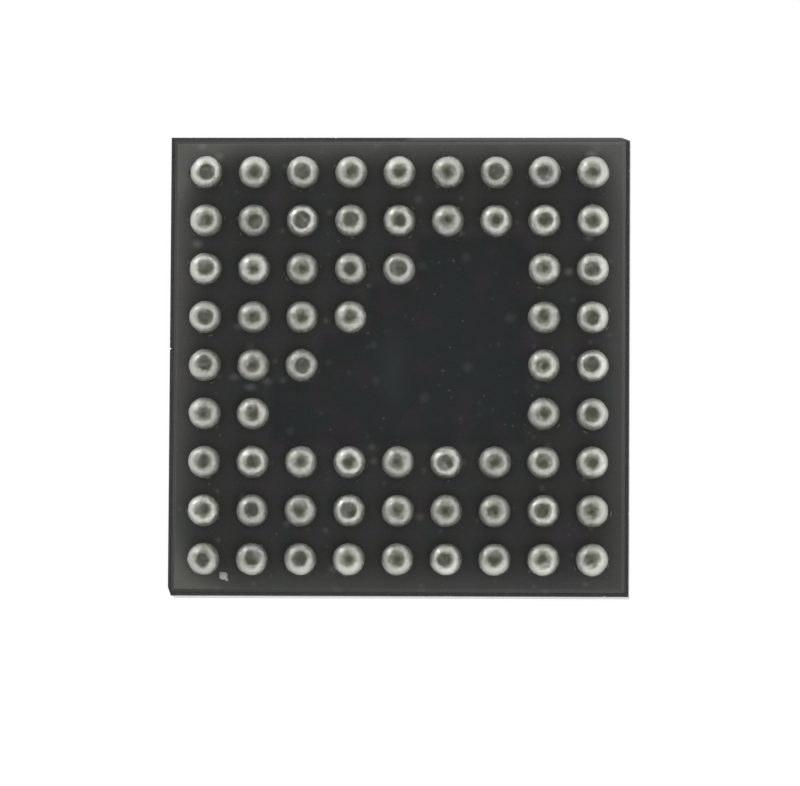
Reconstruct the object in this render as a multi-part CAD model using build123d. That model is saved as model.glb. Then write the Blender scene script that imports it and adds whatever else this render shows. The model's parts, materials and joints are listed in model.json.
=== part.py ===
from build123d import *
import os
from math import hypot, sqrt

# Audio chip in a wafer-level ball-grid package: a bare silicon die whose solder balls stand straight on it.
# Millimetres, +Z up. It lies on its flat back with the balls up, and the origin is the centre of the back face.
# Row A is at +Y and column 1 at -X.

# Ball grid, seen from above: one line for each row, o is a ball and a dot is a bare place
BALL_MAP = {
    "a": "ooooooooo",
    "b": "ooooooooo",
    "c": "ooooo..oo",
    "d": "oooo...oo",
    "e": "ooo....oo",
    "f": "oo.....oo",
    "g": "ooooooooo",
    "h": "ooooooooo",
    "j": "ooooooooo",
}
BALL_PITCH = 0.400
EDGE_MARGIN_X = 0.300
EDGE_MARGIN_Y = 0.300

# Thickness of each layer, from the back up
FILM_THICKNESS = 0.025
DIE_THICKNESS = 0.350
DIE_PAD_THICKNESS = 0.001
LOWER_POLYMER_THICKNESS = 0.0075
COPPER_THICKNESS = 0.005
POLYMER_OVER_COPPER = 0.005
UNDER_BUMP_FLANGE_THICKNESS = 0.006

# Solder balls and the pads under them: each border is how far one disc reaches past the next
BALL_DIAMETER = 0.264
BALL_BULGE = 0.020
UNDER_BUMP_LIP = 0.010
LAND_BORDER = 0.010

# Copper and via down to the die
TRACE_WIDTH = 0.030
VIA_DIAMETER = 0.040
VIA_LAND_BORDER = 0.020
DIE_PAD_BORDER = 0.015

# Edge of the die: the laser-grooved ledge, and how far the two polymer layers stand back from it
LEDGE_WIDTH = 0.026
LEDGE_DEPTH = 0.010
POLYMER_SETBACK = 0.006
POLYMER_WRAP = 0.022
POLYMER_EDGE_SLOPE = 0.028
POLYMER_EDGE_DROP = 0.013

# Chipped corners: the two legs of each lost triangle
CHIP_LONG_LEG = 0.070
CHIP_SHORT_LEG = 0.025

# Worked out from the sizes above
ROW_LETTERS = list(BALL_MAP)
ROWS = len(ROW_LETTERS)
COLUMNS = len(BALL_MAP[ROW_LETTERS[0]])
BODY_X = (COLUMNS - 1) * BALL_PITCH + 2 * EDGE_MARGIN_X
BODY_Y = (ROWS - 1) * BALL_PITCH + 2 * EDGE_MARGIN_Y

FILM_TOP = FILM_THICKNESS
DIE_TOP = FILM_TOP + DIE_THICKNESS
DIE_PAD_TOP = DIE_TOP + DIE_PAD_THICKNESS
LOWER_POLYMER_TOP = DIE_TOP + LOWER_POLYMER_THICKNESS
COPPER_TOP = LOWER_POLYMER_TOP + COPPER_THICKNESS
UPPER_POLYMER_TOP = COPPER_TOP + POLYMER_OVER_COPPER
BALL_SEAT = UPPER_POLYMER_TOP + UNDER_BUMP_FLANGE_THICKNESS

BALL_RADIUS = BALL_DIAMETER / 2
FLANGE_RADIUS = BALL_RADIUS - BALL_BULGE
STEM_RADIUS = FLANGE_RADIUS - UNDER_BUMP_LIP
LAND_RADIUS = FLANGE_RADIUS + LAND_BORDER
VIA_RADIUS = VIA_DIAMETER / 2
VIA_LAND_RADIUS = VIA_RADIUS + VIA_LAND_BORDER
DIE_PAD_SIDE = VIA_DIAMETER + 2 * DIE_PAD_BORDER
UPPER_EDGE_INSET = LEDGE_WIDTH + POLYMER_SETBACK
LOWER_EDGE_INSET = UPPER_EDGE_INSET + POLYMER_WRAP

ON_BASE = (Align.CENTER, Align.CENTER, Align.MIN)


def disc(x, y, bottom, top, radius):
    """Upright cylinder between two heights."""
    return Pos(x, y, bottom) * Cylinder(radius, top - bottom, align=ON_BASE)


def plate(inset, bottom, top):
    """Square plate between two heights, inset from the sawn outline all round."""
    return Pos(0, 0, bottom) * Box(BODY_X - 2 * inset, BODY_Y - 2 * inset, top - bottom, align=ON_BASE)


def ball_places(row):
    """Ball centres in one row of the grid."""
    y = ((ROWS - 1) / 2 - ROW_LETTERS.index(row)) * BALL_PITCH
    columns = [column for column, mark in enumerate(BALL_MAP[row]) if mark == "o"]
    return [((column - (COLUMNS - 1) / 2) * BALL_PITCH, y) for column in columns]


def toward_centre(distance):
    """Half-pitch step from a ball towards the middle of the grid, along one axis."""
    near_zero = BALL_PITCH / 4
    if abs(distance) < near_zero:
        return 0.0
    return -BALL_PITCH / 2 if distance > 0 else BALL_PITCH / 2


def via_place(x, y):
    """Centre of the via and die pad that serve the ball at x, y."""
    return x + toward_centre(x), y + toward_centre(y)


def corner_chips():
    """Triangular prisms lost from the +X +Y corner and the -X -Y corner, through die and film."""
    right, back = BODY_X / 2, BODY_Y / 2
    top_right = Polyline(
        (right, back), (right - CHIP_LONG_LEG, back), (right, back - CHIP_SHORT_LEG), close=True
    )
    bottom_left = Polyline(
        (-right, -back), (-right, CHIP_LONG_LEG - back), (CHIP_SHORT_LEG - right, -back), close=True
    )
    return [extrude(make_face(outline), DIE_TOP) for outline in (top_right, bottom_left)]


def backside_film():
    """Black protective film on the back, sawn with the die."""
    return plate(0, 0, FILM_TOP) - corner_chips()


def silicon_die():
    """Silicon with the laser-grooved ledge round its top edge."""
    body = plate(0, FILM_TOP, DIE_TOP - LEDGE_DEPTH)
    mesa = plate(LEDGE_WIDTH, DIE_TOP - LEDGE_DEPTH, DIE_TOP)
    return body + mesa - corner_chips()


def die_pads(row):
    """Square aluminium pads on the silicon, one for each ball."""
    pad = Box(DIE_PAD_SIDE, DIE_PAD_SIDE, DIE_PAD_THICKNESS, align=ON_BASE)
    return [Pos(*via_place(x, y), DIE_TOP) * pad for x, y in ball_places(row)]


def copper_trace(x, y):
    """Land under a ball, the trace from it, and the via down to its die pad, as one piece of copper."""
    via_x, via_y = via_place(x, y)
    step_x, step_y = via_x - x, via_y - y
    length = hypot(step_x, step_y)
    direction = Plane(
        origin=(x, y, LOWER_POLYMER_TOP), x_dir=(step_x, step_y, 0), z_dir=(0, 0, 1)
    )
    line = direction * Box(length, TRACE_WIDTH, COPPER_THICKNESS, align=(Align.MIN, Align.CENTER, Align.MIN))
    land = disc(x, y, LOWER_POLYMER_TOP, COPPER_TOP, LAND_RADIUS)
    via_land = disc(via_x, via_y, LOWER_POLYMER_TOP, COPPER_TOP, VIA_LAND_RADIUS)
    via = disc(via_x, via_y, DIE_PAD_TOP, COPPER_TOP, VIA_RADIUS)
    return land + line + via_land + via


def copper_traces(row):
    """Redistribution copper for one row of balls."""
    return [copper_trace(x, y) for x, y in ball_places(row)]


def under_bump_pads(row):
    """Plated pads: a stem that fills the opening in the upper polymer, and the flange that the ball wets."""
    stem = disc(0, 0, COPPER_TOP, BALL_SEAT, STEM_RADIUS)
    flange = disc(0, 0, UPPER_POLYMER_TOP, BALL_SEAT, FLANGE_RADIUS)
    pad = stem + flange
    return [Pos(x, y, 0) * pad for x, y in ball_places(row)]


def solder_balls(row):
    """Reflowed balls: spheres cut off flat where they wet the whole flange."""
    centre_height = BALL_SEAT + sqrt(BALL_RADIUS**2 - FLANGE_RADIUS**2)
    sphere = Pos(0, 0, centre_height) * Sphere(BALL_RADIUS)
    ball = split(sphere, bisect_by=Plane.XY.offset(BALL_SEAT), keep=Keep.TOP)
    return [Pos(x, y, 0) * ball for x, y in ball_places(row)]


def lower_polymer_layer(pads, copper):
    """Insulating layer that covers the die pads and lets each via through."""
    return plate(LOWER_EDGE_INSET, DIE_TOP, LOWER_POLYMER_TOP) - pads - copper


def upper_polymer_layer(copper, bumps):
    """Outer skin: it wraps the edge of the lower layer, covers the copper and is open at each ball."""
    skin = plate(UPPER_EDGE_INSET, DIE_TOP, UPPER_POLYMER_TOP)
    rim = skin.faces().sort_by(Axis.Z)[-1].edges()
    sloped = chamfer(rim, POLYMER_EDGE_DROP, POLYMER_EDGE_SLOPE)
    return sloped - plate(LOWER_EDGE_INSET, DIE_TOP, LOWER_POLYMER_TOP) - copper - bumps


def build_nodes():
    """Every node by name, as a list of its separate solids."""
    pads = {row: die_pads(row) for row in BALL_MAP}
    copper = {row: copper_traces(row) for row in BALL_MAP}
    bumps = {row: under_bump_pads(row) for row in BALL_MAP}
    balls = {row: solder_balls(row) for row in BALL_MAP}
    all_pads = [pad for row in BALL_MAP for pad in pads[row]]
    all_copper = [trace for row in BALL_MAP for trace in copper[row]]
    all_bumps = [bump for row in BALL_MAP for bump in bumps[row]]
    nodes = {
        "backside_film": [backside_film()],
        "silicon_die": [silicon_die()],
        "lower_polymer_layer": [lower_polymer_layer(all_pads, all_copper)],
        "upper_polymer_layer": [upper_polymer_layer(all_copper, all_bumps)],
    }
    for row in BALL_MAP:
        nodes[f"die_pads_row_{row}"] = pads[row]
        nodes[f"copper_traces_row_{row}"] = copper[row]
        nodes[f"under_bump_pads_row_{row}"] = bumps[row]
        nodes[f"solder_balls_row_{row}"] = balls[row]
    return nodes


os.makedirs("parts", exist_ok=True)
for name, pieces in build_nodes().items():
    solids = [solid for piece in pieces for solid in piece.solids()]
    export_step(Compound(children=solids), f"parts/{name}.step")
    print(name, len(solids), "solids", round(sum(solid.volume for solid in solids), 6), "mm3")
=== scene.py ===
"""Looks of a wafer-level audio chip that lies on its back with its solder balls up."""

import json
import logging
import math
import random
from collections.abc import Callable, Iterable
from dataclasses import dataclass
from enum import Enum

import bpy
from mathutils import Matrix, Vector


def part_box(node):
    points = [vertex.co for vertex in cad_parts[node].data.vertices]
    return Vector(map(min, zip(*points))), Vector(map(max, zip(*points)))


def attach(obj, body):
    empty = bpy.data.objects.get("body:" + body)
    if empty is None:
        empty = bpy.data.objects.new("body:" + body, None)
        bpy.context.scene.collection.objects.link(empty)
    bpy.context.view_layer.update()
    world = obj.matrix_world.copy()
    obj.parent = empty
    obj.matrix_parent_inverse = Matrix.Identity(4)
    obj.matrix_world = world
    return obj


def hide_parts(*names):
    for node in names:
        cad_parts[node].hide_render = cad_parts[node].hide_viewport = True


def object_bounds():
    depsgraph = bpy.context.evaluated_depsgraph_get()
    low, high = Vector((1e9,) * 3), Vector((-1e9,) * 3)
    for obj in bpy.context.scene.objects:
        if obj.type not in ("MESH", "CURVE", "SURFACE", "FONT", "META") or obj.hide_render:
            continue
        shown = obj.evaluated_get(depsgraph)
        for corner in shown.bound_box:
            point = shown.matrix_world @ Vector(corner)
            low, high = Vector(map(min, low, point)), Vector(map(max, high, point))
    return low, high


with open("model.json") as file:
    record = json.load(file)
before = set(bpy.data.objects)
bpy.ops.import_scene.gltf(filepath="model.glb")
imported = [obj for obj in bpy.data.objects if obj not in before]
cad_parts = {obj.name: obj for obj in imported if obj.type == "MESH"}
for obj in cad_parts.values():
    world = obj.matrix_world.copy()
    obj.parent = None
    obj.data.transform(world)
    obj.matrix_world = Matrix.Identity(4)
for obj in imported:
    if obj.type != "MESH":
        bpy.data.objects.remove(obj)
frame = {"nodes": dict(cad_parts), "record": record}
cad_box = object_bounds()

log = logging.getLogger("audio_chip")

# Pieces are shaped at one unit to the millimetre and then brought down to metres
MM = 0.001
ROOT = "root"

# Starts of the random draws
DIE_SEED = 3
BALL_SEED = 11
DIRT_SEED = 5

Colour = tuple[float, float, float]
Place = tuple[float, float]
Span = tuple[float, float]
Piece = bpy.types.Object
Socket = bpy.types.NodeSocket

# Places of the colour sockets on a Mix node
MIX_MASK, MIX_FIRST, MIX_SECOND, MIX_RESULT = 0, 6, 7, 2


class Slot(Enum):
    """Names of the record's material slots."""

    SOLDER = "solder"
    UPPER_POLYMER = "upper_polymer"
    LOWER_POLYMER = "lower_polymer"
    SILICON = "silicon"


# Handling of objects and selections


def select_only(*pieces: Piece) -> None:
    """Leave these pieces selected and nothing else, with the first one active.

    Args:
        pieces: the objects to select; none leaves everything deselected.
    """
    if bpy.context.mode != "OBJECT":
        bpy.ops.object.mode_set(mode="OBJECT")
    bpy.ops.object.select_all(action="DESELECT")
    for piece in pieces:
        piece.select_set(True)
    bpy.context.view_layer.objects.active = pieces[0] if pieces else None


def edit_vertices(piece: Piece, chosen: Callable[[Vector], bool]) -> None:
    """Enter edit mode with only some vertices selected.

    Args:
        piece: the mesh object to edit.
        chosen: says for a vertex's place whether it is selected.
    """
    select_only(piece)
    bpy.ops.object.mode_set(mode="EDIT")
    bpy.ops.mesh.select_mode(type="VERT")
    bpy.ops.mesh.select_all(action="DESELECT")
    bpy.ops.object.mode_set(mode="OBJECT")
    for vertex in piece.data.vertices:
        vertex.select = chosen(vertex.co)
    bpy.ops.object.mode_set(mode="EDIT")


def cut_flat(height: float) -> None:
    """Cut the active mesh off flat at a height, close the cut and stay in edit mode.

    Args:
        height: where the cut goes; what lies below it is taken away.
    """
    bpy.ops.object.mode_set(mode="EDIT")
    bpy.ops.mesh.select_all(action="SELECT")
    bpy.ops.mesh.bisect(plane_co=(0, 0, height), plane_no=(0, 0, 1), use_fill=True, clear_inner=True)


def apply_modifiers(piece: Piece) -> None:
    """Apply every modifier of a piece in its order.

    Args:
        piece: the object that has them.
    """
    select_only(piece)
    for modifier in list(piece.modifiers):
        bpy.ops.object.modifier_apply(modifier=modifier.name)


def own_copy(piece: Piece) -> Piece:
    """Copy an object with a mesh of its own.

    Args:
        piece: the object to copy.

    Returns:
        The copy, linked to the scene.
    """
    copy = piece.copy()
    copy.data = piece.data.copy()
    bpy.context.scene.collection.objects.link(copy)
    return copy


def joined(pieces: list[Piece]) -> Piece:
    """Join several mesh objects into the first of them.

    Args:
        pieces: the objects to join, at least one.

    Returns:
        The first object, with the others' faces.
    """
    select_only(*pieces)
    if len(pieces) > 1:
        bpy.ops.object.join()
    return pieces[0]


def finish_piece(
    piece: Piece, name: str, material: bpy.types.Material, stands_for: str = ""
) -> Piece:
    """Bring a piece from bench size down to metres and fit it into the frame.

    Args:
        piece: the mesh object, shaped in millimetres where it belongs.
        name: the piece's final name.
        material: the finish of the whole piece.
        stands_for: the CAD node that the piece replaces, if any.

    Returns:
        The same object, at the origin and riding on the body.
    """
    select_only(piece)
    piece.scale = (MM, MM, MM)
    bpy.ops.object.transform_apply(location=True, rotation=True, scale=True)
    piece.name = name
    piece.data.name = name
    piece.data.materials.clear()
    piece.data.materials.append(material)
    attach(piece, ROOT)
    if stands_for:
        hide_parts(stands_for)
    log.info("%s: %d faces", name, len(piece.data.polygons))
    return piece


def dress(name: str, material: bpy.types.Material) -> None:
    """Give a CAD node its finish.

    Args:
        name: the node's name.
        material: what all of it is made of.
    """
    mesh = frame["nodes"][name].data
    mesh.materials.clear()
    mesh.materials.append(material)
    log.info("%s: dressed in %s", name, material.name)


# Wiring of shader nodes


@dataclass
class Graph:
    """Short ways to add and wire nodes in one node tree."""

    tree: bpy.types.NodeTree

    def node(self, kind: str, **settings: object) -> bpy.types.Node:
        """Add a node and set its options.

        Args:
            kind: the node's type name.
            settings: options by their property names.

        Returns:
            The new node.
        """
        node = self.tree.nodes.new(kind)
        for name, value in settings.items():
            setattr(node, name, value)
        return node

    def feed(self, target: Socket, value: object) -> None:
        """Link a socket into another, or set a plain value on it.

        Args:
            target: the socket that takes it.
            value: a socket, number, vector or colour.
        """
        if isinstance(value, bpy.types.NodeSocket):
            self.tree.links.new(value, target)
        elif isinstance(value, tuple) and target.type == "RGBA":
            target.default_value = (*value, 1.0)[:4]
        else:
            target.default_value = value

    def math(self, operation: str, *values: object, clamp: bool = False) -> Socket:
        """Add a Math node.

        Args:
            operation: the operation's name.
            values: its inputs, sockets or numbers.
            clamp: whether the result is held between 0 and 1.

        Returns:
            The result's socket.
        """
        node = self.node("ShaderNodeMath", operation=operation, use_clamp=clamp)
        for target, value in zip(node.inputs, values):
            self.feed(target, value)
        return node.outputs[0]

    def vector(self, operation: str, *values: object) -> Socket:
        """Add a Vector Math node.

        Args:
            operation: the operation's name.
            values: its inputs, sockets or vectors.

        Returns:
            The socket of its vector, or of its value for a length.
        """
        node = self.node("ShaderNodeVectorMath", operation=operation)
        for target, value in zip(node.inputs, values):
            self.feed(target, value)
        return node.outputs["Value" if operation in ("LENGTH", "DISTANCE", "DOT_PRODUCT") else "Vector"]

    def step(self, value: object, low: object, high: object) -> Socket:
        """Add a smooth step that is 0 at low and 1 at high.

        Args:
            value: what is measured.
            low: where the result is 0.
            high: where the result is 1.

        Returns:
            The mask's socket.
        """
        node = self.node("ShaderNodeMapRange", interpolation_type="SMOOTHSTEP")
        for name, given in (("Value", value), ("From Min", low), ("From Max", high)):
            self.feed(node.inputs[name], given)
        return node.outputs["Result"]

    def falling(self, value: object, edge: object, soft: object) -> Socket:
        """Add a smooth step that falls from 1 to 0 just past an edge.

        Args:
            value: what is measured.
            edge: where the fall starts.
            soft: how wide the fall is.

        Returns:
            The mask's socket.
        """
        return self.math("SUBTRACT", 1.0, self.step(value, edge, self.math("ADD", edge, soft)))

    def spread(self, value: Socket, low: float, high: float) -> Socket:
        """Turn a value between 0 and 1 into one between low and high.

        Args:
            value: what is turned.
            low: the result for 0.
            high: the result for 1.

        Returns:
            The result's socket.
        """
        node = self.node("ShaderNodeMapRange")
        self.feed(node.inputs["Value"], value)
        node.inputs["To Min"].default_value = low
        node.inputs["To Max"].default_value = high
        return node.outputs["Result"]

    def mix(self, mask: object, first: object, second: object, blend: str = "MIX") -> Socket:
        """Mix two colours by a mask.

        Args:
            mask: 0 for the first colour and 1 for the second.
            first: a colour or its socket.
            second: a colour or its socket.
            blend: the way of mixing.

        Returns:
            The mixed colour's socket.
        """
        node = self.node("ShaderNodeMix", data_type="RGBA", blend_type=blend)
        self.feed(node.inputs[MIX_MASK], mask)
        self.feed(node.inputs[MIX_FIRST], first)
        self.feed(node.inputs[MIX_SECOND], second)
        return node.outputs[MIX_RESULT]

    def noise(self, place: Socket, per_mm: object, detail: float = 2.0, rough: float = 0.5) -> Socket:
        """Add soft noise.

        Args:
            place: the point in millimetres.
            per_mm: how many lumps there are to a millimetre.
            detail: octaves of finer noise.
            rough: how strong the finer octaves are.

        Returns:
            A socket with a value of about 0.25 to 0.75.
        """
        node = self.node("ShaderNodeTexNoise")
        self.feed(node.inputs["Vector"], place)
        self.feed(node.inputs["Scale"], per_mm)
        node.inputs["Detail"].default_value = detail
        node.inputs["Roughness"].default_value = rough
        return node.outputs["Fac"]

    def parts(self, vector: Socket) -> tuple[Socket, Socket, Socket]:
        """Split a vector into its three numbers.

        Args:
            vector: the vector's socket.

        Returns:
            The sockets of its x, y and z.
        """
        node = self.node("ShaderNodeSeparateXYZ")
        self.feed(node.inputs[0], vector)
        return tuple(node.outputs)

    def joined(self, *numbers: object) -> Socket:
        """Make a vector of three numbers.

        Args:
            numbers: its x, y and z, sockets or numbers.

        Returns:
            The vector's socket.
        """
        node = self.node("ShaderNodeCombineXYZ")
        for target, value in zip(node.inputs, numbers):
            self.feed(target, value)
        return node.outputs[0]

    def stretched(self, place: Socket, scale: tuple[float, float, float]) -> Socket:
        """Stretch a place with a Mapping node.

        Args:
            place: the place's socket.
            scale: how much it is stretched along x, y and z.

        Returns:
            The stretched place's socket.
        """
        node = self.node("ShaderNodeMapping")
        self.feed(node.inputs["Vector"], place)
        node.inputs["Scale"].default_value = scale
        return node.outputs[0]

    def effect(self, group: bpy.types.NodeTree, **values: object) -> dict[str, Socket]:
        """Place a shared effect.

        Args:
            group: the effect's node group.
            values: its inputs by name, with an underscore for a space.

        Returns:
            The effect's outputs by name.
        """
        node = self.node("ShaderNodeGroup", node_tree=group)
        for name, value in values.items():
            self.feed(node.inputs[name.replace("_", " ")], value)
        return {output.name: output for output in node.outputs}


# Effects that several finishes share


def new_effect(name: str, inputs: dict[str, object], outputs: Iterable[str]) -> tuple[Graph, dict, Callable]:
    """Start a shared effect as a node group.

    Args:
        name: the effect's name.
        inputs: each input's name with its usual value; None makes it a vector.
        outputs: the name of each value that it puts out.

    Returns:
        The group's graph, its inputs by name, and a function that feeds an output.
    """
    tree = bpy.data.node_groups.new(name, "ShaderNodeTree")
    for label, usual in inputs.items():
        kind = "NodeSocketVector" if usual is None else "NodeSocketFloat"
        socket = tree.interface.new_socket(label, in_out="INPUT", socket_type=kind)
        if usual is not None:
            socket.default_value = usual
    for label in outputs:
        tree.interface.new_socket(label, in_out="OUTPUT", socket_type="NodeSocketFloat")
    graph = Graph(tree)
    start = graph.node("NodeGroupInput")
    end = graph.node("NodeGroupOutput")

    def put_out(label: str, value: Socket) -> None:
        """Feed one of the effect's outputs."""
        graph.feed(end.inputs[label], value)

    return graph, {output.name: output for output in start.outputs}, put_out


def specks_effect() -> bpy.types.NodeTree:
    """Make soft round specks scattered over a surface.

    Returns:
        A group with a mask that is 1 in the middle of a speck.
    """
    graph, given, put_out = new_effect(
        "scattered_specks", {"Place": None, "Per mm": 6.0, "Radius": 0.02, "Share": 0.5}, ["Mask"]
    )
    cells = graph.node("ShaderNodeTexVoronoi", feature="F1", voronoi_dimensions="2D")
    graph.feed(cells.inputs["Vector"], given["Place"])
    graph.feed(cells.inputs["Scale"], given["Per mm"])
    away = graph.math("DIVIDE", cells.outputs["Distance"], given["Per mm"])
    luck = graph.parts(cells.outputs["Color"])[0]
    reach = graph.math("MULTIPLY", given["Radius"], graph.math("DIVIDE", luck, given["Share"]))
    spot = graph.math("SUBTRACT", 1.0, graph.step(away, 0.0, reach))
    put_out("Mask", graph.math("MULTIPLY", spot, graph.math("LESS_THAN", luck, given["Share"])))
    return graph.tree


def rim_effect() -> bpy.types.NodeTree:
    """Measure how near a point is to the body's outline.

    Returns:
        A group with a mask that is 1 on the outline and 0 past the given width, and one for the corners.
    """
    graph, given, put_out = new_effect(
        "rim", {"Place": None, "Half side": 1.9, "Width": 0.1, "Corner": 1.0}, ["Mask", "Corners"]
    )
    x, y, _ = graph.parts(given["Place"])
    gap_x = graph.math("SUBTRACT", given["Half side"], graph.math("ABSOLUTE", x))
    gap_y = graph.math("SUBTRACT", given["Half side"], graph.math("ABSOLUTE", y))
    nearest = graph.math("MINIMUM", gap_x, gap_y)
    put_out("Mask", graph.math("SUBTRACT", 1.0, graph.step(nearest, 0.0, given["Width"])))
    both = graph.math("ADD", gap_x, gap_y)
    put_out("Corners", graph.math("SUBTRACT", 1.0, graph.step(both, 0.0, given["Corner"])))
    return graph.tree


def grid_effect(gaps: Iterable[tuple[float, float, float]]) -> bpy.types.NodeTree:
    """Find the nearest place of the ball grid and the field that has no balls.

    Args:
        gaps: the middle and half length of each bare stretch of a row, in millimetres.

    Returns:
        A group with the distance from that place, a random number for it, and a mask of the bare field.
    """
    graph, given, put_out = new_effect(
        "ball_grid", {"Place": None, "Pitch": 0.4}, ["Distance", "Luck", "Bare"]
    )
    soft_share = 0.3
    x, y, _ = graph.parts(given["Place"])
    edge = graph.math("MULTIPLY", given["Pitch"], 0.5)
    soft = graph.math("MULTIPLY", given["Pitch"], soft_share)
    bare = None
    for middle, row, half_length in gaps:
        along = graph.math("ABSOLUTE", graph.math("SUBTRACT", x, middle))
        across = graph.math("ABSOLUTE", graph.math("SUBTRACT", y, row))
        inside_x = graph.falling(along, half_length, soft)
        inside = graph.math("MULTIPLY", inside_x, graph.falling(across, edge, soft))
        bare = inside if bare is None else graph.math("MAXIMUM", bare, inside)
    put_out("Bare", bare)
    pitch = graph.joined(given["Pitch"], given["Pitch"], 1.0)
    flat = graph.vector("MULTIPLY", given["Place"], (1.0, 1.0, 0.0))
    half = graph.vector("MULTIPLY", pitch, (0.5, 0.5, 0.0))
    centre = graph.vector("SNAP", graph.vector("ADD", flat, half), pitch)
    put_out("Distance", graph.vector("DISTANCE", flat, centre))
    luck = graph.node("ShaderNodeTexWhiteNoise", noise_dimensions="3D")
    steady = graph.vector("SNAP", graph.vector("ADD", centre, half), half)
    graph.feed(luck.inputs["Vector"], steady)
    put_out("Luck", luck.outputs["Value"])
    return graph.tree


def streaks_effect() -> bpy.types.NodeTree:
    """Make the fine level scratches that a saw leaves on an upright wall.

    Returns:
        A group with a value that changes quickly with height and slowly along the wall.
    """
    graph, given, put_out = new_effect("saw_streaks", {"Place": None, "Lines per mm": 120.0}, ["Value"])
    streaks_along_per_mm = 3.0
    x, y, z = graph.parts(given["Place"])
    along = [graph.math("MULTIPLY", level, streaks_along_per_mm) for level in (x, y)]
    lines = graph.joined(*along, graph.math("MULTIPLY", z, given["Lines per mm"]))
    put_out("Value", graph.noise(lines, 1.0, detail=3.0, rough=0.6))
    return graph.tree


@dataclass(frozen=True)
class Effects:
    """The shared effects, each built once."""

    specks: bpy.types.NodeTree
    rim: bpy.types.NodeTree
    grid: bpy.types.NodeTree
    streaks: bpy.types.NodeTree

    @classmethod
    def build(cls, gaps: Iterable[tuple[float, float, float]]) -> "Effects":
        """Build every shared effect, with the ball grid's bare stretches."""
        return cls(specks_effect(), rim_effect(), grid_effect(gaps), streaks_effect())


# Finishes


def new_material(name: str) -> tuple[bpy.types.Material, Graph, bpy.types.Node]:
    """Start a material.

    Args:
        name: the material's name.

    Returns:
        The material, its graph and its shader.
    """
    material = bpy.data.materials.new(name)
    material.use_nodes = True
    return material, Graph(material.node_tree), material.node_tree.nodes["Principled BSDF"]


def new_finish(name: str) -> tuple[bpy.types.Material, Graph, bpy.types.Node, Socket]:
    """Start a material that is shaded by the place in millimetres.

    Args:
        name: the material's name.

    Returns:
        The material, its graph, its shader and the socket of the place.
    """
    material, graph, shader = new_material(name)
    own = graph.node("ShaderNodeTexCoord").outputs["Object"]
    return material, graph, shader, graph.stretched(own, (1.0 / MM, 1.0 / MM, 1.0 / MM))


def add_bump(graph: Graph, shader: bpy.types.Node, height: Socket, depth_um: float) -> None:
    """Raise a shader's surface by a height map.

    Args:
        graph: the material's graph.
        shader: its Principled BSDF.
        height: the map, between 0 and 1.
        depth_um: how high 1 stands over 0, in micrometres.
    """
    bump = graph.node("ShaderNodeBump")
    bump.inputs["Strength"].default_value = 1.0
    bump.inputs["Distance"].default_value = depth_um * MM * MM
    graph.feed(bump.inputs["Height"], height)
    graph.feed(shader.inputs["Normal"], bump.outputs["Normal"])


@dataclass(frozen=True)
class SolderFinish:
    """Reflowed tin-silver-copper: satin and grainy, with crowns darkened partly as duller metal and partly by
    a painted reflection of the dark lens overhead.
    """

    bright: Colour = (0.560, 0.563, 0.530)
    # Crown colour: partly dull solder, partly painted reflection of the dark lens above the balls
    crown_dull_and_reflection: Colour = (0.320, 0.327, 0.255)
    crown_depth: float = 0.044
    crown_flat: float = 0.003
    blotches_per_mm: float = 14.0
    waviness: float = 0.06
    grains_per_mm: float = 26.0
    crown_darkening_grain: Span = (0.30, 0.62)
    least_crown_darkening: float = 0.55
    darkest_ball: float = 0.80
    side_roughness: float = 0.50
    crown_roughness: float = 0.41
    rough_grain: Span = (0.35, 0.70)
    grain_roughness: float = 0.08
    shiny_luck: float = 0.55
    shiny_gain: float = -0.06
    fine_grains_per_mm: float = 70.0
    fine_grain_share: float = 0.35
    relief_um: float = 1.6

    def crown(self, graph: Graph, place: Socket, top: float) -> Socket:
        """Mask the crowns of the balls, with a wavy edge.

        Args:
            graph: the material's graph.
            place: the place in millimetres.
            top: the height of the balls' tops in millimetres.

        Returns:
            A socket that is 1 on a crown and 0 on the sides.
        """
        height = graph.parts(place)[2]
        blotches = graph.noise(place, self.blotches_per_mm)
        wavy = graph.math("MULTIPLY_ADD", graph.math("SUBTRACT", blotches, 0.5), self.waviness, height)
        return graph.step(wavy, top - self.crown_depth, top - self.crown_flat)

    def make(self, effects: Effects, pitch: float, top: float) -> bpy.types.Material:
        """Make the material.

        Args:
            effects: the shared effects.
            pitch: the ball grid's pitch in millimetres.
            top: the height of the balls' tops in millimetres.

        Returns:
            The material.
        """
        material, graph, shader, place = new_finish("reflowed_solder")
        luck = graph.effect(effects.grid, Place=place, Pitch=pitch)["Luck"]
        grains = graph.noise(place, self.grains_per_mm, detail=3.0, rough=0.6)
        crown = self.crown(graph, place, top)
        crown_darkening = graph.spread(graph.step(grains, *self.crown_darkening_grain), self.least_crown_darkening, 1.0)
        # Crowns darkened: partly real dullness, partly painted reflection of the dark lens overhead
        tone = graph.mix(graph.math("MULTIPLY", crown, crown_darkening), self.bright, self.crown_dull_and_reflection)
        dimmer = graph.spread(luck, self.darkest_ball, 1.0)
        grey = graph.node("ShaderNodeCombineColor")
        for target in grey.inputs[:3]:
            graph.feed(target, dimmer)
        graph.feed(shader.inputs["Base Color"], graph.mix(1.0, tone, grey.outputs[0], blend="MULTIPLY"))
        shader.inputs["Metallic"].default_value = 1.0
        satin = graph.spread(crown, self.side_roughness, self.crown_roughness)
        satin = graph.math("MULTIPLY_ADD", graph.step(luck, self.shiny_luck, 1.0), self.shiny_gain, satin)
        rough = graph.math("MULTIPLY_ADD", graph.step(grains, *self.rough_grain), self.grain_roughness, satin)
        graph.feed(shader.inputs["Roughness"], rough)
        fine = graph.noise(place, self.fine_grains_per_mm)
        relief = graph.math("MULTIPLY_ADD", fine, self.fine_grain_share, grains)
        add_bump(graph, shader, relief, self.relief_um)
        return material


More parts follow.
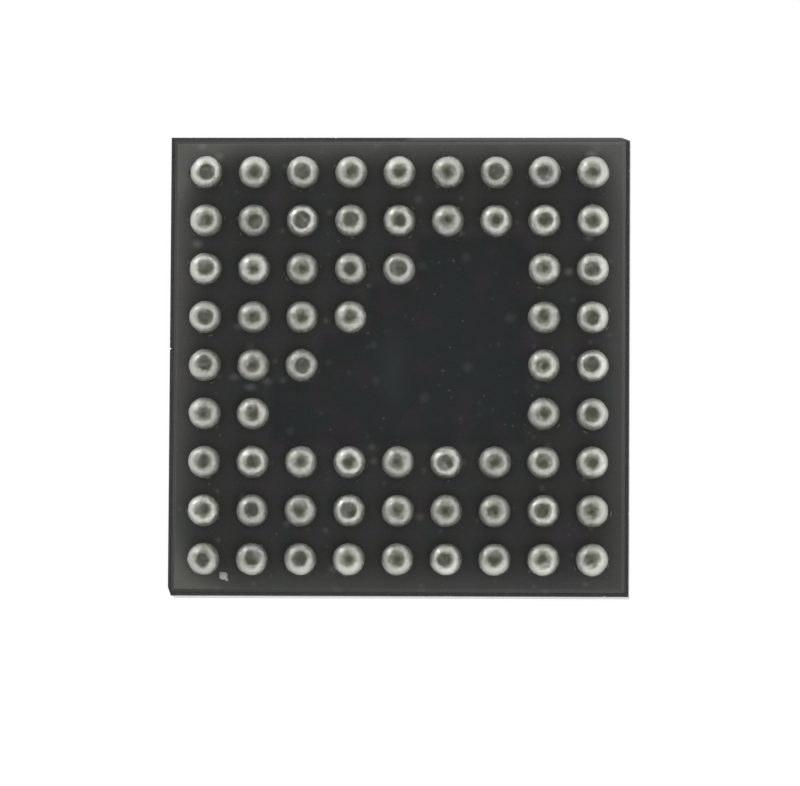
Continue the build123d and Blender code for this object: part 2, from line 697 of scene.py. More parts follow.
@dataclass(frozen=True)
class Specks:
    """Soft specks of dust, strewn over cells.

    There are so many cells to a millimetre, the share says how many of them hold a speck, and the
    radius is the largest speck's in millimetres.
    """

    per_mm: float
    radius: float
    share: float
    strength: float

    def mask(self, graph: Graph, effects: Effects, place: Socket) -> Socket:
        """Make the specks' mask.

        Args:
            graph: the material's graph.
            effects: the shared effects.
            place: the place in millimetres.

        Returns:
            A socket that is the specks' strength in their middles and 0 between them.
        """
        strewn = graph.effect(
            effects.specks, Place=place, Per_mm=self.per_mm, Radius=self.radius, Share=self.share
        )
        return graph.math("MULTIPLY", strewn["Mask"], self.strength)


@dataclass(frozen=True)
class Smudge:
    """A soft pale patch on the polymer, in millimetres."""

    x: float
    y: float
    half_length: float
    half_width: float
    strength: float

    def mask(self, graph: Graph, place: Socket) -> Socket:
        """Make the patch's mask.

        Args:
            graph: the material's graph.
            place: the place in millimetres.

        Returns:
            A socket that is the patch's strength in its middle and 0 outside it.
        """
        across = graph.vector("SUBTRACT", place, (self.x, self.y, 0.0))
        rounded = graph.stretched(across, (1 / self.half_length, 1 / self.half_width, 0.0))
        away = graph.vector("LENGTH", rounded)
        return graph.math("MULTIPLY", graph.falling(away, 0.0, 1.0), self.strength)


@dataclass(frozen=True)
class PolymerFinish:
    """Dark photo-imaged skin: satin gloss, faintly mottled, lighter towards the rim with haze and painted
    reflection, and dusty.
    """

    body: Colour = (0.0405, 0.0405, 0.039)
    teal: Colour = (0.035, 0.042, 0.041)
    violet: Colour = (0.045, 0.040, 0.045)
    olive: Colour = (0.035, 0.035, 0.026)
    deep: Colour = (0.0145, 0.0217, 0.0216)
    deep_violet: Colour = (0.0225, 0.0205, 0.0245)
    # Rim colours: partly haze, partly painted reflection of the bright surroundings
    rim_haze_and_reflection_warm: Colour = (0.122, 0.123, 0.109)
    rim_haze_and_reflection_cool: Colour = (0.108, 0.109, 0.104)
    # Painted shade on the sloped edge
    edge: Colour = (0.030, 0.030, 0.030)
    dust: Colour = (0.190, 0.190, 0.186)

    # Mottling: its fineness, where it turns to another tint, and how much deeper the bare field is
    tints_per_mm: float = 3.2
    tint_middle: float = 0.50
    tint_reach: float = 0.16
    deep_tint_reach: float = 0.08
    bare_depth: float = 0.65

    # Flux stain and painted contact shade round each ball's foot, shifted so that the shade is deepest on the
    # +Y side: its start and fade are shares of the ball's radius
    stain_and_shade_shift_y: float = -0.012
    stain_and_shade_start: float = 0.95
    stain_and_shade_fade: float = 0.55
    stain_and_shade_patches_per_mm: float = 9.0
    stain_and_shade_patch: Span = (0.35, 0.60)
    faintest_stain_and_shade: float = 0.55
    stain_and_shade_depth: float = 0.8

    # Haze and painted reflection towards the rim, and how they change for each millimetre along x or y
    rim_width: float = 0.38
    corner_width: float = 0.75
    cool_from_x: float = 1.2
    corner_haze_and_reflection: float = 1.05
    corner_haze_and_reflection_by_x: float = -0.20
    side_falloff: float = 1.7
    side_haze_and_reflection: float = 0.72
    side_haze_and_reflection_by_y: float = 0.08
    all_haze_and_reflection: float = 0.80
    all_haze_and_reflection_by_y: float = 0.07
    faint_rim_corner: Span = (2.6, 3.8)
    faint_rim_corner_loss: float = 0.25

    # Painted shade on the sloped edge of the skin, deepest towards the left
    edge_height: float = 0.003
    edge_shade_depth: float = 0.58
    edge_shade_by_x: float = -0.20

    # Fine surface
    sheens_per_mm: float = 24.0
    roughness: Span = (0.20, 0.34)
    refraction: float = 1.55
    grains_per_mm: float = 60.0
    swells_per_mm: float = 5.0
    swell_share: float = 2.0
    relief_um: float = 0.6

    # Dust that has settled
    specks: tuple[Specks, Specks] = (Specks(2.8, 0.070, 0.60, 0.28), Specks(6.5, 0.034, 0.35, 0.24))
    bare_dust: float = 0.45
    smudges: tuple[Smudge, ...] = (
        Smudge(-1.644, 1.825, 0.065, 0.050, 0.75),
        Smudge(-1.503, 1.741, 0.060, 0.050, 0.60),
        Smudge(1.584, 1.762, 0.075, 0.045, 0.85),
        Smudge(-1.678, 1.010, 0.065, 0.055, 0.50),
        Smudge(1.400, 0.784, 0.060, 0.050, 0.50),
        Smudge(1.563, 1.065, 0.060, 0.040, 0.40),
        Smudge(-1.333, 0.329, 0.055, 0.045, 0.35),
        Smudge(-1.362, -0.093, 0.070, 0.045, 0.35),
        Smudge(-1.229, -0.176, 0.075, 0.045, 0.40),
        Smudge(-1.089, -0.127, 0.065, 0.045, 0.35),
        Smudge(-0.052, -0.002, 0.200, 0.460, 0.05),
    )

    def mottled(self, graph: Graph, place: Socket, ball: dict[str, Socket], ball_radius: float) -> Socket:
        """Colour the skin: mottled, stained and darkened with painted contact shade round the balls, and
        deeper in the bare field.

        Args:
            graph: the material's graph.
            place: the place in millimetres.
            ball: the ball grid's outputs.
            ball_radius: a ball's radius in millimetres.

        Returns:
            The colour's socket.
        """
        tint = graph.noise(place, self.tints_per_mm, detail=3.0, rough=0.55)
        middle = self.tint_middle
        colour = graph.mix(graph.step(tint, middle, middle + self.tint_reach), self.body, self.violet)
        colour = graph.mix(graph.step(tint, middle, middle - self.tint_reach), colour, self.teal)
        # Ring round each ball's foot: partly flux stain, partly painted contact shade
        ring = graph.falling(ball["Distance"], ball_radius * self.stain_and_shade_start, ball_radius * self.stain_and_shade_fade)
        occupied = graph.math("SUBTRACT", 1.0, ball["Bare"])
        patches = graph.step(graph.noise(place, self.stain_and_shade_patches_per_mm), *self.stain_and_shade_patch)
        patchy = graph.spread(patches, self.faintest_stain_and_shade, 1.0)
        near_ball = graph.math("MULTIPLY", graph.math("MULTIPLY", ring, occupied), patchy)
        colour = graph.mix(graph.math("MULTIPLY", near_ball, self.stain_and_shade_depth), colour, self.olive)
        deep = graph.mix(graph.step(tint, middle, middle + self.deep_tint_reach), self.deep, self.deep_violet)
        return graph.mix(graph.math("MULTIPLY", ball["Bare"], self.bare_depth), colour, deep)

    def hazed_and_reflecting(
        self, graph: Graph, effects: Effects, place: Socket, colour: Socket, half_side: float
    ) -> Socket:
        """Lighten the skin towards its rim with haze and painted reflection: warm at the left, and least at
        the front right corner.

        Args:
            graph: the material's graph.
            effects: the shared effects.
            place: the place in millimetres.
            colour: the skin's colour so far.
            half_side: half the body's side in millimetres.

        Returns:
            The colour's socket.
        """
        x, y, _ = graph.parts(place)
        rim = graph.effect(
            effects.rim, Place=place, Half_side=half_side, Width=self.rim_width, Corner=self.corner_width
        )
        corner_haze_and_reflection = graph.math("MULTIPLY_ADD", x, self.corner_haze_and_reflection_by_x, self.corner_haze_and_reflection)
        corners = graph.math("MULTIPLY", rim["Corners"], corner_haze_and_reflection)
        side_haze_and_reflection = graph.math("MULTIPLY_ADD", y, self.side_haze_and_reflection_by_y, self.side_haze_and_reflection)
        sides = graph.math("MULTIPLY", graph.math("POWER", rim["Mask"], self.side_falloff), side_haze_and_reflection)
        clean = graph.step(graph.math("SUBTRACT", x, y), *self.faint_rim_corner)
        all_haze_and_reflection = graph.math("MULTIPLY_ADD", y, self.all_haze_and_reflection_by_y, self.all_haze_and_reflection)
        all_haze_and_reflection = graph.math("SUBTRACT", all_haze_and_reflection, graph.math("MULTIPLY", clean, self.faint_rim_corner_loss))
        # Lighter rim: partly haze, partly painted reflection of the bright surroundings
        haze_and_reflection = graph.math("MULTIPLY", graph.math("ADD", corners, sides), all_haze_and_reflection, clamp=True)
        hazy_and_reflecting = graph.mix(graph.step(x, -self.cool_from_x, self.cool_from_x), self.rim_haze_and_reflection_warm, self.rim_haze_and_reflection_cool)
        return graph.mix(haze_and_reflection, colour, hazy_and_reflecting)

    def dusted(self, graph: Graph, effects: Effects, place: Socket, colour: Socket, bare: Socket) -> Socket:
        """Strew dust and smudges over the skin, with less dust in the bare field.

        Args:
            graph: the material's graph.
            effects: the shared effects.
            place: the place in millimetres.
            colour: the skin's colour so far.
            bare: the mask of the bare field.

        Returns:
            The colour's socket.
        """
        dusty = graph.math("MAXIMUM", *(specks.mask(graph, effects, place) for specks in self.specks))
        dusty = graph.math("MULTIPLY", dusty, graph.spread(bare, 1.0, self.bare_dust))
        for smudge in self.smudges:
            dusty = graph.math("MAXIMUM", dusty, smudge.mask(graph, place))
        return graph.mix(dusty, colour, self.dust)

    def make(
        self, effects: Effects, half_side: float, top: float, pitch: float, ball_radius: float
    ) -> bpy.types.Material:
        """Make the material.

        Args:
            effects: the shared effects.
            half_side: half the body's side in millimetres.
            top: the height of the skin's top in millimetres.
            pitch: the ball grid's pitch in millimetres.
            ball_radius: a ball's radius in millimetres.

        Returns:
            The material.
        """
        material, graph, shader, place = new_finish("upper_polymer")
        # The grid is shifted so that the painted contact shade round each ball falls on its +Y side
        shifted = graph.vector("ADD", place, (0.0, self.stain_and_shade_shift_y, 0.0))
        ball = graph.effect(effects.grid, Place=shifted, Pitch=pitch)
        colour = self.mottled(graph, place, ball, ball_radius)
        colour = self.hazed_and_reflecting(graph, effects, place, colour, half_side)
        colour = self.dusted(graph, effects, place, colour, ball["Bare"])
        x, _, z = graph.parts(place)
        # Painted shade on the sloped edge, deeper towards the left where the edge faces away from the light
        slope = graph.math("SUBTRACT", 1.0, graph.step(z, top - self.edge_height, top))
        edge_shade_depth = graph.math("MULTIPLY_ADD", x, self.edge_shade_by_x, self.edge_shade_depth)
        colour = graph.mix(graph.math("MULTIPLY", slope, edge_shade_depth), colour, self.edge)
        graph.feed(shader.inputs["Base Color"], colour)
        sheen = graph.noise(place, self.sheens_per_mm, detail=3.0)
        graph.feed(shader.inputs["Roughness"], graph.spread(sheen, *self.roughness))
        shader.inputs["IOR"].default_value = self.refraction
        grain = graph.noise(place, self.grains_per_mm, detail=3.0, rough=0.6)
        swell = graph.noise(place, self.swells_per_mm)
        add_bump(graph, shader, graph.math("MULTIPLY_ADD", swell, self.swell_share, grain), self.relief_um)
        return material


@dataclass(frozen=True)
class InnerPolymerFinish:
    """Amber inner polymer, seen only through its edges."""

    colour: Colour = (0.16, 0.11, 0.05)
    deep: Colour = (0.10, 0.065, 0.03)
    clouds_per_mm: float = 12.0
    roughness: Span = (0.30, 0.45)

    def make(self) -> bpy.types.Material:
        """Make the material.

        Returns:
            The material.
        """
        material, graph, shader, place = new_finish("lower_polymer")
        cloud = graph.noise(place, self.clouds_per_mm, detail=3.0)
        graph.feed(shader.inputs["Base Color"], graph.mix(cloud, self.colour, self.deep))
        graph.feed(shader.inputs["Roughness"], graph.spread(cloud, *self.roughness))
        return material


@dataclass(frozen=True)
class SiliconFinish:
    """Sawn silicon: bare grey crystal with a metal's shine, streaked by the saw along its walls."""

    wall: Colour = (0.40, 0.405, 0.42)
    dark_line: Colour = (0.27, 0.27, 0.28)
    lines_per_mm: float = 110.0
    dark_streak: Span = (0.50, 0.72)
    blotches_per_mm: float = 6.0
    roughness: Span = (0.12, 0.30)
    grains_per_mm: float = 90.0
    grain_share: float = 0.5
    relief_um: float = 0.1

    def make(self, effects: Effects) -> bpy.types.Material:
        """Make the material.

        Args:
            effects: the shared effects.

        Returns:
            The material.
        """
        material, graph, shader, place = new_finish("sawn_silicon")
        streaks = graph.effect(effects.streaks, Place=place, Lines_per_mm=self.lines_per_mm)["Value"]
        blotches = graph.noise(place, self.blotches_per_mm, detail=4.0, rough=0.6)
        colour = graph.mix(graph.step(streaks, *self.dark_streak), self.wall, self.dark_line)
        graph.feed(shader.inputs["Base Color"], colour)
        graph.feed(shader.inputs["Roughness"], graph.spread(blotches, *self.roughness))
        shader.inputs["Metallic"].default_value = 1.0
        grain = graph.noise(place, self.grains_per_mm, detail=3.0)
        add_bump(graph, shader, graph.math("MULTIPLY_ADD", grain, self.grain_share, streaks), self.relief_um)
        return material


@dataclass(frozen=True)
class LedgeFinish:
    """Silicon recast by the laser: dark, matte and crusted, but paler along half of the back edge."""

    colour: Colour = (0.047, 0.047, 0.048)
    crust: Colour = (0.064, 0.064, 0.064)
    pale: Colour = (0.122, 0.124, 0.126)
    crusts_per_mm: float = 40.0
    crusted: Span = (0.45, 0.65)
    pale_from_x: Span = (0.0, 0.12)
    pale_inset: Span = (0.04, 0.03)
    paleness: float = 0.9
    roughness: Span = (0.45, 0.65)
    shine: float = 0.25
    relief_um: float = 1.2

    def make(self, half_side: float) -> bpy.types.Material:
        """Make the material.

        Args:
            half_side: half the body's side in millimetres.

        Returns:
            The material.
        """
        material, graph, shader, place = new_finish("laser_cut_ledge")
        x, y, _ = graph.parts(place)
        crusty = graph.noise(place, self.crusts_per_mm, detail=4.0, rough=0.65)
        colour = graph.mix(graph.step(crusty, *self.crusted), self.colour, self.crust)
        behind = graph.step(y, *(half_side - inset for inset in self.pale_inset))
        pale = graph.math("MULTIPLY", graph.step(x, *self.pale_from_x), behind)
        colour = graph.mix(graph.math("MULTIPLY", pale, self.paleness), colour, self.pale)
        graph.feed(shader.inputs["Base Color"], colour)
        graph.feed(shader.inputs["Roughness"], graph.spread(crusty, *self.roughness))
        shader.inputs["Specular IOR Level"].default_value = self.shine
        add_bump(graph, shader, crusty, self.relief_um)
        return material


@dataclass(frozen=True)
class FilmFinish:
    """Black back film: matte, with a fine leathery grain and faint rub marks."""

    colour: Colour = (0.017, 0.017, 0.018)
    rubbed: Colour = (0.034, 0.034, 0.035)
    dust: Colour = (0.10, 0.10, 0.10)
    rub_stretch: tuple[float, float, float] = (1.5, 9.0, 1.0)
    rubs_per_mm: float = 1.4
    rubbed_through: Span = (0.52, 0.75)
    specks: Specks = Specks(5.0, 0.03, 0.5, 0.4)
    grains_per_mm: float = 45.0
    roughness: Span = (0.55, 0.75)
    relief_um: float = 1.5

    def make(self, effects: Effects) -> bpy.types.Material:
        """Make the material.

        Args:
            effects: the shared effects.

        Returns:
            The material.
        """
        material, graph, shader, place = new_finish("backside_film")
        rubs = graph.noise(graph.stretched(place, self.rub_stretch), self.rubs_per_mm, detail=4.0, rough=0.6)
        colour = graph.mix(graph.step(rubs, *self.rubbed_through), self.colour, self.rubbed)
        colour = graph.mix(self.specks.mask(graph, effects, place), colour, self.dust)
        graph.feed(shader.inputs["Base Color"], colour)
        grain = graph.noise(place, self.grains_per_mm, detail=3.0, rough=0.6)
        graph.feed(shader.inputs["Roughness"], graph.spread(grain, *self.roughness))
        add_bump(graph, shader, grain, self.relief_um)
        return material


@dataclass(frozen=True)
class PlatedFinish:
    """Thin plated or sputtered metal with a fine grain and a little tarnish."""

    name: str
    colour: Colour
    tarnish: Colour
    clouds_per_mm: float = 18.0
    tarnished: Span = (0.42, 0.70)
    grains_per_mm: float = 150.0
    roughness: Span = (0.30, 0.48)
    relief_um: float = 0.4

    def make(self) -> bpy.types.Material:
        """Make the material.

        Returns:
            The material.
        """
        material, graph, shader, place = new_finish(self.name)
        cloud = graph.noise(place, self.clouds_per_mm, detail=4.0, rough=0.6)
        colour = graph.mix(graph.step(cloud, *self.tarnished), self.colour, self.tarnish)
        graph.feed(shader.inputs["Base Color"], colour)
        shader.inputs["Metallic"].default_value = 1.0
        grain = graph.noise(place, self.grains_per_mm)
        graph.feed(shader.inputs["Roughness"], graph.spread(grain, *self.roughness))
        add_bump(graph, shader, grain, self.relief_um)
        return material


@dataclass(frozen=True)
class ResidueFinish:
    """Dust, dried flux and splashed solder that lie on the chip."""

    name: str
    colour: Colour
    shade: Colour
    roughness: float
    roughness_swing: float = 0.08
    clouds_per_mm: float = 50.0
    shaded: Span = (0.35, 0.65)
    relief_um: float = 1.0

    def make(self) -> bpy.types.Material:
        """Make the material.

        Returns:
            The material.
        """
        material, graph, shader, place = new_finish(self.name)
        cloud = graph.noise(place, self.clouds_per_mm, detail=3.0)
        colour = graph.mix(graph.step(cloud, *self.shaded), self.colour, self.shade)
        graph.feed(shader.inputs["Base Color"], colour)
        smoothest, roughest = (self.roughness + sign * self.roughness_swing for sign in (-1, 1))
        graph.feed(shader.inputs["Roughness"], graph.spread(cloud, smoothest, roughest))
        add_bump(graph, shader, cloud, self.relief_um)
        return material


# Sub-assemblies


@dataclass(frozen=True)
class BallGrid:
    """The grid of solder balls as the frame holds it, in millimetres."""

    pitch: float
    radius: float
    seat: float
    top: float
    rows: dict[str, list[Place]]
    gap_pitches: float = 1.5

    @classmethod
    def from_frame(cls) -> "BallGrid":
        """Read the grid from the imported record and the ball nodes.

        Returns:
            The grid, with its rows by their letters.
        """
        mount = next(m for m in frame["record"]["mounts"] if m["name"] == "solder_ball_grid")
        pitch, radius = mount["dims"]["spacing_x_mm"], mount["dims"]["r_mm"]
        rows = {}
        for name in sorted(frame["nodes"]):
            if not name.startswith("solder_balls_row_"):
                continue
            low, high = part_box(name)
            y = (low.y + high.y) / 2 / MM
            columns = {round(vertex.co.x / MM / pitch) for vertex in frame["nodes"][name].data.vertices}
            letter = name.removeprefix("solder_balls_row_")
            rows[letter] = [(column * pitch, y) for column in sorted(columns)]
        return cls(pitch, radius, low.z / MM, high.z / MM, rows)

    @property
    def centre_height(self) -> float:
        """Height of the balls' centres."""
        return self.top - self.radius

    def gaps(self) -> list[tuple[float, float, float]]:
        """Find the bare stretches between two balls of a row.

        Returns:
            For each stretch its middle, its row's y and its half length.
        """
        bare = []
        for places in self.rows.values():
            for (left, y), (right, _) in zip(places, places[1:]):
                if right - left > self.pitch * self.gap_pitches:
                    bare.append(((left + right) / 2, y, (right - left - self.pitch) / 2))
        return bare

    def places(self) -> list[Place]:
        """Every ball's place, row by row."""
        return [place for row in self.rows.values() for place in row]


@dataclass
class SolderBalls:
    """Sixty-seven reflowed balls, each a little out of round in its own way."""

    grid: BallGrid
    finish: bpy.types.Material
    chance: random.Random
    subdivisions: int = 5
    sharp_angle: float = 50.0

    # Flats near the top: tilt in degrees, start as a share of the radius, share of height that is left
    flat_share: float = 0.55
    flat_tilt: Span = (0, 16)
    flat_start: Span = (0.84, 0.93)
    flat_kept: Span = (0.1, 0.6)

    # Dents: tilt in degrees, depth and reach in millimetres, grip as a share of the radius
    dents_each: int = 2
    dent_tilt: Span = (5, 65)
    dent_depth: Span = (0.001, 0.005)
    dent_reach: Span = (0.03, 0.07)
    dent_grip: float = 0.02

    # Waves, each with a name, size and depth, and the share of the radius over which they set in
    waves: tuple[tuple[str, float, float], ...] = (("slump", 0.11, 0.012), ("lumps", 0.045, 0.004))
    wave_rise: float = 0.5

    def model_ball(self) -> Piece:
        """Model the true ball at the middle of the grid.

        Returns:
            A sphere cut off flat at its seat.
        """
        select_only()
        bpy.ops.mesh.primitive_ico_sphere_add(
            subdivisions=self.subdivisions,
            radius=self.grid.radius,
            location=(0, 0, self.grid.centre_height),
        )
        ball = bpy.context.object
        bpy.ops.object.transform_apply(location=True, rotation=True, scale=True)
        cut_flat(self.grid.seat)
        bpy.ops.object.mode_set(mode="OBJECT")
        return ball

    def flatten(self, ball: Piece, normal: Vector, share: float, keep: float) -> None:
        """Press one side of a ball towards flat.

        Args:
            ball: the ball at the middle of the grid.
            normal: the direction of the pressed side.
            share: how far out the flat starts, as a share of the radius.
            keep: how much of the cap's height is left.
        """
        centre = Vector((0, 0, self.grid.centre_height))
        start = self.grid.radius * share
        edit_vertices(ball, lambda place: (place - centre).dot(normal) > start)
        side = normal.orthogonal().normalized()
        bpy.ops.transform.resize(
            value=(1, 1, keep),
            orient_type="GLOBAL",
            orient_matrix=Matrix((side, normal.cross(side), normal)).transposed(),
            orient_matrix_type="GLOBAL",
            center_override=tuple(centre + normal * start),
        )
        bpy.ops.mesh.vertices_smooth(factor=0.5, repeat=3)
        bpy.ops.object.mode_set(mode="OBJECT")

    def dent(self, ball: Piece, normal: Vector, depth: float, reach: float) -> None:
        """Push a shallow dent into a ball.

        Args:
            ball: the ball at the middle of the grid.
            normal: the side of the dent.
            depth: how deep it is.
            reach: how far it reaches.
        """
        centre = Vector((0, 0, self.grid.centre_height))
        spot = centre + normal * self.grid.radius
        nearest = min((vertex.co for vertex in ball.data.vertices), key=lambda place: (place - spot).length)
        nearest = nearest.copy()
        grip = self.grid.radius * self.dent_grip
        edit_vertices(ball, lambda place: (place - nearest).length < grip)
        bpy.ops.transform.translate(
            value=tuple(-normal * depth),
            use_proportional_edit=True,
            proportional_edit_falloff="SMOOTH",
            proportional_size=reach,
        )
        bpy.ops.object.mode_set(mode="OBJECT")

    def direction(self, low: float, high: float) -> Vector:
        """Pick a direction at random.

        Args:
            low: its least angle from straight up, in degrees.
            high: its largest angle from straight up, in degrees.

        Returns:
            A vector of length 1.
        """
        away = math.radians(self.chance.uniform(low, high))
        turn = self.chance.uniform(0, math.tau)
        return Vector((math.sin(away) * math.cos(turn), math.sin(away) * math.sin(turn), math.cos(away)))

    def shape_ball(self, model: Piece, place: Place) -> Piece:
        """Copy the model ball and give the copy its own small faults.

        Args:
            model: the true ball.
            place: where the copy stands.

        Returns:
            The copy, in its place.
        """
        ball = own_copy(model)
        if self.chance.random() < self.flat_share:
            normal = self.direction(*self.flat_tilt)
            start = self.chance.uniform(*self.flat_start)
            self.flatten(ball, normal, start, self.chance.uniform(*self.flat_kept))
        for _ in range(self.dents_each):
            depth = self.chance.uniform(*self.dent_depth)
            normal = self.direction(*self.dent_tilt)
            self.dent(ball, normal, depth, self.chance.uniform(*self.dent_reach))
        select_only(ball)
        ball.location = (*place, 0)
        bpy.ops.object.transform_apply(location=True, rotation=True, scale=True)
        return ball

    def roughen(self, row: Piece) -> None:
        """Make balls a little lumpy above the seat, and bring their crowns back to full height.

        Args:
            row: the balls of one row, in millimetres.
        """
        above = row.vertex_groups.new(name="above_seat")
        rise = self.grid.radius * self.wave_rise
        for vertex in row.data.vertices:
            weight = min(1.0, max(0.0, (vertex.co.z - self.grid.seat) / rise))
            above.add([vertex.index], weight, "REPLACE")
        for name, size, depth in self.waves:
            texture = bpy.data.textures.new(name, "CLOUDS")
            texture.noise_scale = size
            displace = row.modifiers.new(name, "DISPLACE")
            displace.texture = texture
            displace.texture_coords = "GLOBAL"
            displace.mid_level = 0.5
            displace.strength = depth
            displace.vertex_group = above.name
        apply_modifiers(row)
        row.vertex_groups.clear()
        highest = max(vertex.co.z for vertex in row.data.vertices)
        stretch = (self.grid.top - self.grid.seat) / (highest - self.grid.seat)
        edit_vertices(row, lambda place: True)
        bpy.ops.transform.resize(value=(1, 1, stretch), center_override=(0, 0, self.grid.seat))
        bpy.ops.object.mode_set(mode="OBJECT")

    def build(self) -> list[Piece]:
        """Build one piece for each row of the grid.

        Returns:
            The finished rows.
        """
        model = self.model_ball()
        rows = []
        for letter, places in self.grid.rows.items():
            row = joined([self.shape_ball(model, place) for place in places])
            self.roughen(row)
            select_only(row)
            bpy.ops.object.shade_smooth_by_angle(angle=math.radians(self.sharp_angle))
            name = f"reflowed_balls_row_{letter}"
            rows.append(finish_piece(row, name, self.finish, f"solder_balls_row_{letter}"))
        bpy.data.objects.remove(model)
        return rows


@dataclass
class SawnDie:
    """The silicon die, with the small chips that sawing leaves along its edges."""

    finish: bpy.types.Material
    ledge_finish: bpy.types.Material
    chance: random.Random
    merge_within: float = 0.0001
    flat_angle: float = 1.0
    sharp_angle: float = 12.0

    # Ledge: how far a face may be from its height, and how upright its normal has to be
    level_slack: float = 0.0005
    facing_up: float = 0.9

    # Chips: sizes in millimetres, a power that favours small ones, and their uneven proportions
    chips_a_side: int = 14
    smallest: float = 0.003
    largest: float = 0.009
    small_power: int = 3
    proportions: Span = (0.6, 1.8)
    skewed_from: float = 0.2
    skew: tuple[float, float, float] = (0.7, 1.25, 0.8)

    def levels(self, body: Piece) -> list[float]:
        """Heights of the die's flat faces, from the bottom up."""
        return sorted({round(vertex.co.z, 4) for vertex in body.data.vertices})

    def dress_ledge(self, body: Piece, height: float) -> None:
        """Give the flat faces of the ledge their own finish.

        Args:
            body: the finished die, in metres.
            height: the ledge's height in millimetres.
        """
        body.data.materials.append(self.ledge_finish)
        for face in body.data.polygons:
            level = abs(face.center.z / MM - height) < self.level_slack
            if level and face.normal.z > self.facing_up:
                face.material_index = 1

    def merged_copy(self) -> Piece:
        """Copy the CAD die at bench size, with its loose triangles merged.

        Returns:
            The copy, in millimetres.
        """
        body = own_copy(frame["nodes"]["silicon_die"])
        body.parent = None
        for key in [key for key in body.keys() if key.startswith("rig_")]:
            del body[key]
        select_only(body)
        body.scale = (1 / MM, 1 / MM, 1 / MM)
        bpy.ops.object.transform_apply(location=False, rotation=False, scale=True)
        bpy.ops.object.mode_set(mode="EDIT")
        bpy.ops.mesh.select_all(action="SELECT")
        bpy.ops.mesh.remove_doubles(threshold=self.merge_within)
        bpy.ops.mesh.dissolve_limited(angle_limit=math.radians(self.flat_angle))
        bpy.ops.object.mode_set(mode="OBJECT")
        return body

    def model_chip(self) -> Piece:
        """Model the faceted chip that the cutters copy.

        Returns:
            A skewed lump of unit size.
        """
        select_only()
        bpy.ops.mesh.primitive_ico_sphere_add(subdivisions=1, radius=1.0)
        chip = bpy.context.object
        edit_vertices(chip, lambda place: place.z > self.skewed_from)
        bpy.ops.transform.resize(value=self.skew)
        bpy.ops.object.mode_set(mode="OBJECT")
        return chip

    def cutters(self, half: Place, heights: list[float]) -> Piece:
        """Scatter chip cutters along the outer edges at the given heights.

        Args:
            half: half the die's sides.
            heights: the heights of the edges that are chipped.

        Returns:
            All the cutters as one mesh.
        """
        model = self.model_chip()
        scattered = []
        for height in heights:
            for side in range(4):
                for _ in range(self.chips_a_side):
                    cutter = own_copy(model)
                    along = self.chance.uniform(-1, 1)
                    sign = 1 if side % 2 else -1
                    x, y = (sign, along) if side < 2 else (along, sign)
                    growth = self.chance.random() ** self.small_power
                    size = self.smallest + (self.largest - self.smallest) * growth
                    cutter.location = (x * half[0], y * half[1], height)
                    cutter.scale = [size * self.chance.uniform(*self.proportions) for _ in range(3)]
                    cutter.rotation_euler = [self.chance.uniform(0, math.tau) for _ in range(3)]
                    scattered.append(cutter)
        bpy.data.objects.remove(model)
        select_only(*scattered)
        bpy.ops.object.transform_apply(location=True, rotation=True, scale=True)
        return joined(scattered)

    def build(self) -> Piece:
        """Build the chipped die.

        Returns:
            The finished piece.
        """
        body = self.merged_copy()
        bottom, *_, ledge, _ = self.levels(body)
        half = tuple(side / 2 for side in body.dimensions[:2])
        cutter = self.cutters(half, [bottom, ledge])
        chipped = body.modifiers.new("chips", "BOOLEAN")
        chipped.operation = "DIFFERENCE"
        chipped.solver = "EXACT"
        chipped.use_self = True
        chipped.object = cutter
        apply_modifiers(body)
        bpy.data.objects.remove(cutter)
        bpy.ops.object.shade_smooth_by_angle(angle=math.radians(self.sharp_angle))
        finish_piece(body, "sawn_silicon_die", self.finish, "silicon_die")
        self.dress_ledge(body, ledge)
        return body


@dataclass(frozen=True)
class Mark:
    """One crumb, flake or splash on the chip, in millimetres."""

    x: float
    y: float
    length: float
    width: float
    height: float
    turn: float = 0.0


